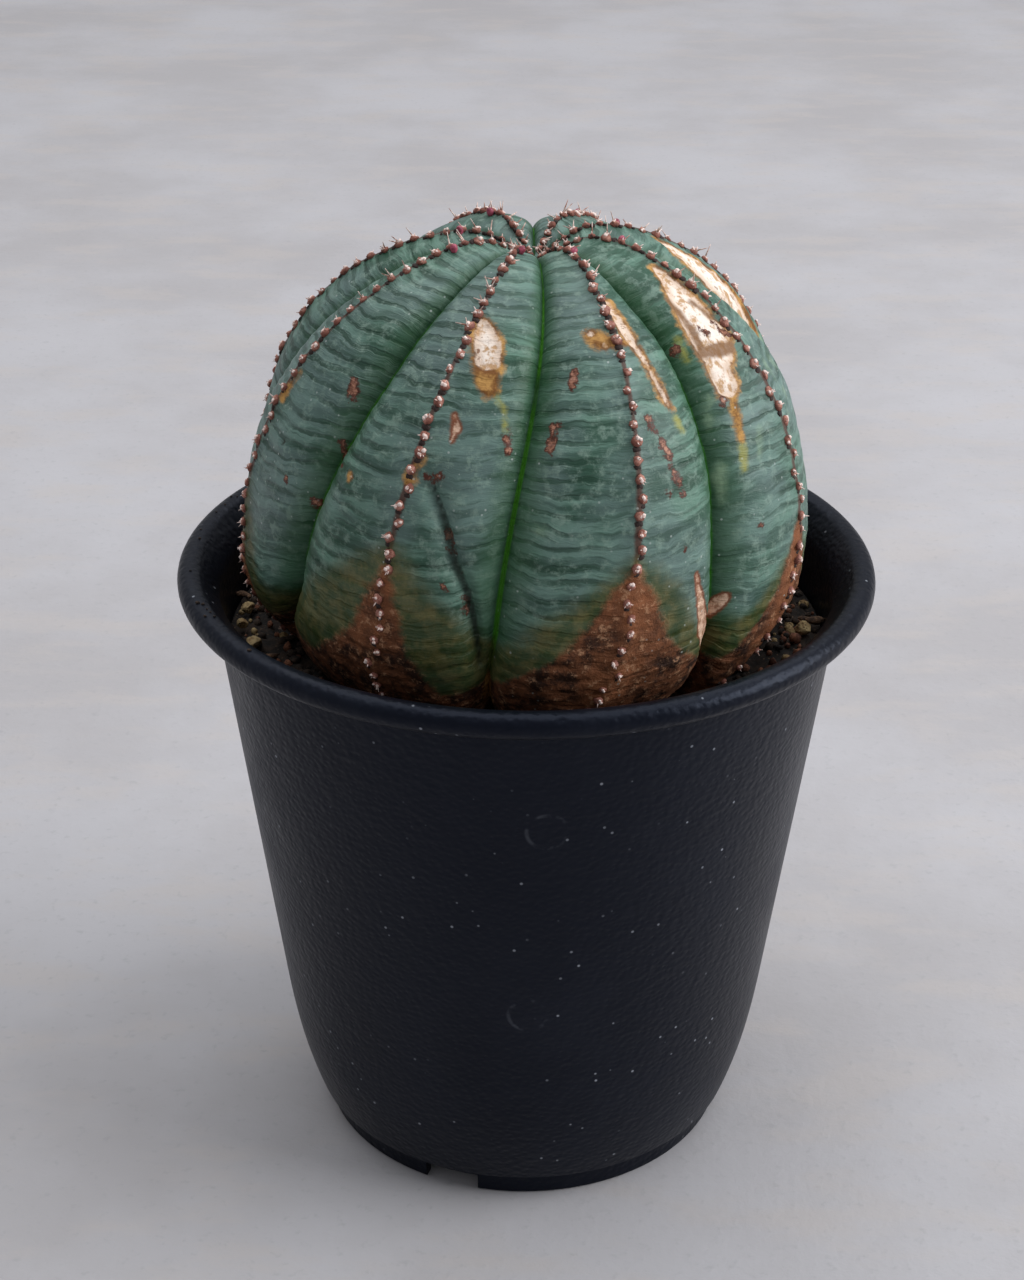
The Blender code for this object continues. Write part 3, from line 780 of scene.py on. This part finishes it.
def add_knob(row, spot, offset, size, tips, rings=5, sides=8):
    """One lumpy ball: size along the row's sides, along the row and outwards."""
    tip_layer = row.verts.layers.float["tip"]
    for corner in bmesh.ops.create_uvsphere(row, u_segments=sides, v_segments=rings, radius=1)["verts"]:
        rise = corner.co.z * 0.5 + 0.5
        corner[tip_layer] = tips[0] + (tips[1] - tips[0]) * rise + rng.uniform(-0.12, 0.12)
        corner.co *= 1 + rng.uniform(-0.2, 0.2)
        corner.co = spot @ (Vector(a * b for a, b in zip(corner.co, size)) + Vector(offset))


def add_spike(row, spot, size):
    """One short thorn-like splinter, standing out of a stub at an odd angle."""
    reach = size * rng.uniform(0.9, 1.5)
    made = bmesh.ops.create_cone(row, segments=4, cap_ends=True, radius1=size * 0.26, radius2=size * 0.05,
                                 depth=reach)["verts"]
    lean = Vector((rng.uniform(-1, 1), rng.uniform(-0.7, 0.9), 0.9))
    turn = lean.to_track_quat("Z", "Y").to_matrix().to_4x4()
    tip_layer = row.verts.layers.float["tip"]
    for corner in made:
        corner[tip_layer] = 0.75 + 0.3 * corner.co.z / reach
        corner.co = spot @ turn @ (corner.co + Vector((0, 0, reach / 2 + size * 0.25)))


rng = random.Random(41)
STUB_PITCH = 2.7 * MM
whisker_places = []
soil_length = float(np.interp(math.radians(SOIL_DEGREES), polar_table, length_table))
for crest in range(0, HALVES, 2):
    row = bmesh.new()
    row.verts.layers.float.new("tip")
    length = rng.uniform(2.0, 2.6) * MM
    while length < soil_length:
        polar_here = float(np.interp(length, length_table, polar_table))
        low = min(1, max(0, length - 62 * MM) / (40 * MM))
        young = max(0, 1 - length / (14 * MM))
        size = (0.80 - 0.22 * young - 0.16 * low) * rng.uniform(0.82, 1.18) * MM
        spot = skin_frame(crest + rng.uniform(-0.03, 0.03), polar_here)
        add_knob(row, spot, (0, 0, 0.02 * MM), (size, size * 1.05, size * 0.75), (-0.1, 0.45))
        # Painted shade: a flat, near-black knob just downhill of the stub, half sunk into the skin.
        shade_knob_size = (size * 0.85, size * 0.75, size * 0.45)
        add_knob(row, spot, (0, size * 1.3, -0.25 * MM), shade_knob_size, (-0.4, -0.3), 4, 7)
        for _ in range(2):
            small = size * rng.uniform(0.36, 0.52)
            nudge = (rng.uniform(-0.5, 0.5) * size, rng.uniform(-0.6, 0.25) * size,
                     size * rng.uniform(0.45, 0.7))
            add_knob(row, spot, nudge, (small, small, small * 0.8), (0.4, 1.05), 4, 6)
        for _ in range(rng.choice((1, 2, 2, 3))):
            add_spike(row, spot, size)
        if length < 34 * MM:
            whisker_places.append((spot, size, length))
        length += STUB_PITCH * (1 - 0.45 * young - 0.22 * low) * rng.uniform(0.92, 1.08)
    bmesh.ops.recalc_face_normals(row, faces=row.faces)
    stub_row = finish_mesh(f"euphorbia_stubs_{crest // 2 + 1}", row, stub_wood)
    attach(stub_row, "root")

# ---------------------------------------------------------------------------------------------
# Whiskers and buds. The youngest stubs near the top still hold thin, pale, dried stalks that lean
# out at odd angles, and here and there a tiny magenta bud sits beside a stub.
# ---------------------------------------------------------------------------------------------

dry_stalk, tree, shader = start_material("dry_stalk_pale", 0.8)
stalk_grain = noise_of(tree, object_point(tree), 700.0, 2.0, 0.6)
colour = paint(tree, (0.30, 0.14, 0.10), (0.76, 0.60, 0.53), step_up(tree, stalk_grain, 0.35, 0.6))
tree.links.new(colour, shader.inputs["Base Color"])

bud_flesh, tree, shader = start_material("bud_magenta", 0.45)
bud_grain = noise_of(tree, object_point(tree), 900.0, 2.0, 0.6)
colour = paint(tree, (0.20, 0.022, 0.045), (0.46, 0.085, 0.14), step_up(tree, bud_grain, 0.35, 0.65))
tree.links.new(colour, shader.inputs["Base Color"])

rng = random.Random(57)
whiskers = bmesh.new()
for spot, size, length in whisker_places:
    for _ in range(rng.choice((0, 1, 1, 2))):
        reach = rng.uniform(1.1, 2.7) * MM * (1 if length > 8 * MM else 0.75)
        made = bmesh.ops.create_cone(whiskers, segments=5, cap_ends=True, radius1=0.17 * MM,
                                     radius2=0.05 * MM, depth=reach)["verts"]
        lean = (rng.uniform(-0.9, 0.9), rng.uniform(-0.6, 0.9), 1)
        turn = Vector(lean).to_track_quat("Z", "Y").to_matrix().to_4x4()
        root = Matrix.Translation((rng.uniform(-0.3, 0.3) * size, 0, size * 0.4))
        for corner in made:
            corner.co = spot @ root @ turn @ (corner.co + Vector((0, 0, reach / 2)))
bmesh.ops.recalc_face_normals(whiskers, faces=whiskers.faces)
stalks = finish_mesh("dry_stalks", whiskers, dry_stalk)
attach(stalks, "root")

# Each bud is beside a crest, given by its rib line, at so many degrees down from the top
BUDS = ((4, 15), (10, 14), (2, 12), (8, 11), (12, 15), (6, 9), (0, 13), (14, 24))
bud_shape = bmesh.new()
for line, down in BUDS:
    spot = skin_frame(line + 0.09, math.radians(down))
    made = bmesh.ops.create_uvsphere(bud_shape, u_segments=10, v_segments=7, radius=0.62 * MM)["verts"]
    for corner in made:
        corner.co.z *= 1.5 - 0.3 * corner.co.z / MM
        corner.co = spot @ (corner.co + Vector((0, 0, 0.55 * MM)))
bmesh.ops.recalc_face_normals(bud_shape, faces=bud_shape.faces)
buds = finish_mesh("flower_buds", bud_shape, bud_flesh)
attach(buds, "root")

# ---------------------------------------------------------------------------------------------
# Grains. Bigger stones lie in the gap between plant and pot: pale tan pumice, full of pores, and
# red-brown baked clay. Each is a ball knocked flat on several sides.
# ---------------------------------------------------------------------------------------------


def stone_material(name, dark, light, pore_size):
    made, tree, shader = start_material(name, 0.9)
    point = object_point(tree)
    blotch = noise_of(tree, point, 420.0, 4.0, 0.7)
    cells = add_node(tree, "ShaderNodeTexVoronoi", {"Vector": point, "Scale": pore_size})
    pores = cells.outputs["Distance"]
    colour = paint(tree, dark, light, step_up(tree, blotch, 0.35, 0.62))
    hole = step_up(tree, pores, 0.30, 0.12)
    colour = paint(tree, colour, tuple(part * 0.25 for part in dark), times(tree, hole, 0.7))
    tree.links.new(colour, shader.inputs["Base Color"])
    relief(tree, shader, sums(tree, "MULTIPLY_ADD", hole, -0.7, blotch), 0.5 * MM, 0.8)
    return made


def chipped_stone(shape, centre, halves, finest, flats):
    """Add one stone: a ball pressed flat on some sides, roughened, with the half sizes given."""
    made = bmesh.ops.create_icosphere(shape, subdivisions=finest, radius=1)["verts"]
    sides = [Vector([rng.gauss(0, 1) for _ in "xyz"]).normalized() for _ in range(flats)]
    depths = [rng.uniform(0.62, 0.86) for _ in range(flats)]
    shift = Vector([rng.uniform(0, 50) for _ in "xyz"])
    for corner in made:
        for side, depth in zip(sides, depths):
            past = corner.co.dot(side) - depth
            if past > 0:
                corner.co -= side * past * 0.9
        corner.co *= 1 + 0.10 * noise.noise(corner.co * 2.6 + shift)
    widest = [max(abs(corner.co[axis]) for corner in made) for axis in range(3)]
    for corner in made:
        corner.co = centre + Vector([corner.co[axis] / widest[axis] * halves[axis] for axis in range(3)])


pumice = stone_material("pumice_tan", (0.20, 0.115, 0.045), (0.46, 0.34, 0.17), 1500.0)
baked_clay = stone_material("clay_red_brown", (0.075, 0.024, 0.013), (0.24, 0.095, 0.050), 2100.0)
STONES = {"p": ("pumice", pumice), "c": ("baked_clay", baked_clay)}
rng = random.Random(73)
for number, kind in enumerate("pppccpcpccpccpcpcpcpcp", 1):
    slot_name, stuff = STONES[kind]
    node = f"{slot_name.split('_')[-1]}_grain_{number:02d}"
    low, high = (Vector(corner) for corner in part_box(node))
    shape = bmesh.new()
    chipped_stone(shape, (low + high) / 2, (high - low) / 2 * 1.02, 4, 9)
    bmesh.ops.recalc_face_normals(shape, faces=shape.faces)
    stone = finish_mesh(f"{node}_stone", shape, stuff)
    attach(stone, "root")
    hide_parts(node)

# ---------------------------------------------------------------------------------------------
# Crumbs. Hundreds of small bits cover the soil: dark peat, tan grit and brown grit, with a few
# bits of bark and dry root. A few dusty crumbs also lie on the left of the rim.
# ---------------------------------------------------------------------------------------------

peat = stone_material("peat_dark", (0.008, 0.005, 0.004), (0.045, 0.026, 0.016), 1800.0)
CRUMBS = (("soil", "peat", peat, 62, (0.5, 1.3)), ("pumice", "tan_grit", pumice, 17, (0.4, 1.25)),
          ("baked_clay", "brown_grit", baked_clay, 30, (0.4, 1.2)))
at_soil = places[np.abs(places[:, 2] - SOIL_TOP) < 1.2 * MM]
turn_of = np.arctan2(at_soil[:, 1], at_soil[:, 0])
order = np.argsort(turn_of)
plant_turn, plant_radius = turn_of[order], np.hypot(at_soil[:, 0], at_soil[:, 1])[order]
rng = random.Random(91)
for slot_name, name, stuff, count, sizes in CRUMBS:
    for sector in range(8):
        shape = bmesh.new()
        for _ in range(count):
            half = rng.uniform(*sizes) * rng.uniform(0.7, 1) * MM
            turn = math.pi * ((sector + rng.random()) / 4 - 1)
            inner = float(np.interp(turn, plant_turn, plant_radius)) + half * 0.6
            outer = wall_inside(SOIL_TOP) - half - 0.5 * MM
            reach = inner + (outer - inner) * rng.random() ** 0.8
            spot = Vector((math.cos(turn) * reach, math.sin(turn) * reach, 0))
            spot.z = SOIL_TOP + soil_bumps(spot.x, spot.y) + half * rng.uniform(-0.1, 0.75)
            flatness = [half * rng.uniform(0.7, 1.1) for _ in range(3)]
            chipped_stone(shape, spot, flatness, 2, 4)
        bmesh.ops.recalc_face_normals(shape, faces=shape.faces)
        crumbs = finish_mesh(f"{name}_{sector + 1}", shape, stuff)
        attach(crumbs, "root")

dust_shape = bmesh.new()
for _ in range(14):
    half = rng.uniform(0.16, 0.42) * MM
    spot = towards(rng.uniform(-118, -48)) * rng.uniform(57, 58.6) * MM
    spot.z = pot_height + half * 0.2
    chipped_stone(dust_shape, spot, (half, half * 0.8, half * 0.6), 2, 4)
bmesh.ops.recalc_face_normals(dust_shape, faces=dust_shape.faces)
rim_dust = finish_mesh("rim_crumbs", dust_shape, peat)
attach(rim_dust, "root")

BARK = ((-69, 47.4, 25, 6.5, 0.5), (-60, 49.5, 80, 5, 0.7), (-98, 50.5, 140, 4.5, 0.6),
        (63, 48.5, 60, 5.5, 0.55), (88, 50, 10, 5, 0.8), (-120, 50, 100, 6, 0.5), (150, 50, 40, 6, 0.7))
bark_bits = bmesh.new()
for degrees, reach, heading, long, wide in BARK:
    made = bmesh.ops.create_grid(bark_bits, x_segments=8, y_segments=6, size=0.5)["verts"]
    lie = (Matrix.Translation(towards(degrees) * reach * MM + Vector((0, 0, SOIL_TOP + 1.8 * MM)))
           @ Matrix.Rotation(math.radians(heading), 4, "Z") @ Matrix.Rotation(math.radians(8), 4, "Y"))
    for corner in made:
        along_bit, round_bit = corner.co.x, math.tau * corner.co.y
        thick = wide * (1 - 0.9 * abs(2 * along_bit) ** 5) * (1 + 0.2 * math.sin(9 * along_bit)) * MM
        bend = 3 * along_bit ** 2 * MM
        corner.co = lie @ Vector((along_bit * long * MM, thick * math.cos(round_bit) + bend,
                                  thick * math.sin(round_bit) * 0.8))
bmesh.ops.remove_doubles(bark_bits, verts=bark_bits.verts, dist=0.02 * MM)
bmesh.ops.holes_fill(bark_bits, edges=[edge for edge in bark_bits.edges if edge.is_boundary])
bmesh.ops.recalc_face_normals(bark_bits, faces=bark_bits.faces)
bark_brown = stone_material("bark_brown", (0.04, 0.02, 0.012), (0.22, 0.12, 0.065), 1600.0)
bark = finish_mesh("bark_and_root_bits", bark_bits, bark_brown)
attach(bark, "root")
